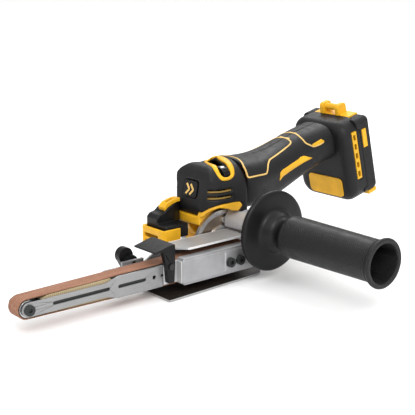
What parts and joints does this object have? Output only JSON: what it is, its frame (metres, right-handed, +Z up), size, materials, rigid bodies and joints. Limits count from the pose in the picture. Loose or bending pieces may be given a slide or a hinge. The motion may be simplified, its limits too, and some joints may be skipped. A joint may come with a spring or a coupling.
{
  "type": "handheld belt sander",
  "caption": "Cordless band file: narrow sanding belt on a long swinging arm, geared head with dust duct, trigger handle, battery foot and a screw-in side handle.",
  "frame": {"origin": "middle of the overall bounding box, on the plane of the guard's underside", "axes": "+X to the nose of the sanding arm, +Y to the side handle, +Z up; arm and belt lie along X"},
  "size_m": [0.3798, 0.21, 0.1253],
  "materials": {
    "housing": "fine matt grain",
    "soft_grip": "soft matt",
    "yellow_plastic": "satin",
    "yellow_case": "satin paint",
    "cast_cover": "satin cast",
    "polished_plate": "turned and polished",
    "guard_steel": "bright pressed sheet",
    "arm_steel": "ground",
    "dark_steel": "black coated",
    "bare_steel": "machined",
    "bright_screw": "plated",
    "abrasive": "coated abrasive cloth",
    "black_plastic": "satin",
    "copper_windings": "enamelled copper",
    "board": "lacquered",
    "cast_boss": "cast and painted silver"
  },
  "bodies": {
    "body": {"gear_case": "yellow_case", "gear_case_cover": "cast_cover", "case_screws": "bright_screw", "collar_plate": "polished_plate", "handle_boss": "cast_boss", "head_cover": "housing", "dial_bezel": "yellow_plastic", "nose_plate": "black_plastic", "dust_duct": "black_plastic", "duct_collar": "yellow_plastic", "stator": "copper_windings", "shaft_bearings": "bright_screw", "motor_frame": "black_plastic", "idler_pin": "bare_steel", "handle_shell_left": "housing", "handle_shell_right": "housing", "switch_module": "black_plastic", "control_board": "board", "foot_shell": "housing", "foot_trim": "yellow_plastic", "cheeks": "soft_grip", "battery_rails": "housing", "terminal_block": "black_plastic", "lanyard_bridge": "yellow_plastic", "label_plate": "yellow_plastic"},
    "drive": {"output_gear": "bare_steel", "output_shaft": "bare_steel", "drive_pulley": "soft_grip"},
    "idler_train": {"idler_gear": "bare_steel"},
    "cross_train": {"bevel_gear": "bare_steel", "cross_shaft": "bare_steel", "cross_gear": "bare_steel"},
    "motor": {"rotor": "bare_steel", "motor_shaft": "bare_steel", "cooling_fan": "black_plastic", "bevel_pinion": "bare_steel"},
    "arm": {"arm_sleeve": "dark_steel", "tension_spring": "bare_steel", "guard_channel": "guard_steel", "arm_cover": "cast_cover", "cover_bolts": "dark_steel", "lever_bracket": "guard_steel", "lever_pin": "dark_steel", "sanding_belt": "abrasive"},
    "arm_slide": {"arm_core": "bare_steel", "arm_plate_left": "arm_steel", "arm_plate_right": "arm_steel", "upper_pad": "arm_steel", "lower_pad": "arm_steel", "idler_axle": "bright_screw", "tracking_block": "arm_steel"},
    "nose_roller": {"idler_roller": "bare_steel"},
    "lever": {"release_lever": "dark_steel"},
    "tracking": {"tracking_knob": "black_plastic"},
    "dial": {"speed_dial": "black_plastic"},
    "trigger": {"trigger_paddle": "black_plastic"},
    "washer": {"handle_washer": "polished_plate"},
    "side_handle": {"handle_stud": "bare_steel", "handle_flange": "black_plastic", "handle_grip": "soft_grip"}
  },
  "joints": [
    {"name": "drive_spin", "type": "hinge", "parent": "body", "child": "drive", "pos_m": [-0.01841, -0.06155, 0.0175], "axis": [0, 1, 0], "continuous": true},
    {"name": "idler_gear_spin", "type": "hinge", "parent": "body", "child": "idler_train", "pos_m": [-0.01403, -0.08355, 0.04516], "axis": [0, 1, 0], "continuous": true},
    {"name": "cross_spin", "type": "hinge", "parent": "body", "child": "cross_train", "pos_m": [-0.01043, -0.07655, 0.06787], "axis": [0, 1, 0], "continuous": true},
    {"name": "motor_spin", "type": "hinge", "parent": "body", "child": "motor", "pos_m": [-0.05441, -0.07155, 0.06787], "axis": [1, 0, 0], "continuous": true},
    {"name": "arm_swing", "type": "hinge", "parent": "body", "child": "arm", "pos_m": [-0.01841, -0.04155, 0.0175], "axis": [0, 1, 0], "range_deg": [-12, 37]},
    {"name": "arm_retract", "type": "slide", "parent": "arm", "child": "arm_slide", "axis": [1, 0, 0], "range_m": [-0.0044, 0], "stiffness_N_per_m": 2500, "springref_m": 0.012},
    {"name": "nose_roller_spin", "type": "hinge", "parent": "arm_slide", "child": "nose_roller", "pos_m": [0.18211, -0.04155, 0.0175], "axis": [0, 1, 0], "continuous": true},
    {"name": "lever_press", "type": "hinge", "parent": "arm", "child": "lever", "pos_m": [0.06209, -0.02805, 0.0255], "axis": [0, 1, 0], "range_deg": [0, 20]},
    {"name": "tracking_turn", "type": "hinge", "parent": "arm_slide", "child": "tracking", "pos_m": [0.07859, -0.05955, 0.0255], "axis": [0, 1, 0], "range_deg": [-180, 180]},
    {"name": "speed_set", "type": "hinge", "parent": "body", "child": "dial", "pos_m": [-0.01541, -0.05905, 0.078], "axis": [1, 0, 0], "range_deg": [-135, 135]},
    {"name": "trigger_press", "type": "hinge", "parent": "body", "child": "trigger", "pos_m": [-0.12141, -0.07155, 0.07], "axis": [0, 1, 0], "range_deg": [-6, 0], "stiffness_Nm_per_rad": 1.2, "springref_deg": 17.19},
    {"name": "handle_unscrew", "type": "slide", "parent": "body", "child": "washer", "axis": [0, 1, 0], "range_m": [0, 0.0046]},
    {"name": "handle_turn", "type": "hinge", "parent": "washer", "child": "side_handle", "pos_m": [-0.03041, 0.03845, 0.0402], "axis": [0, 1, 0], "range_deg": [0, 1080]}
  ],
  "couplings": [
    {"joint": "idler_gear_spin", "follows": "drive_spin", "ratio": -0.93103},
    {"joint": "cross_spin", "follows": "drive_spin", "ratio": 1.5882},
    {"joint": "motor_spin", "follows": "drive_spin", "ratio": -3.1765},
    {"joint": "nose_roller_spin", "follows": "drive_spin", "ratio": 1.4706},
    {"joint": "lever_press", "follows": "arm_retract", "rad_per_m": -79.3},
    {"joint": "handle_unscrew", "follows": "handle_turn", "m_per_rad": 0.00023873}
  ]
}
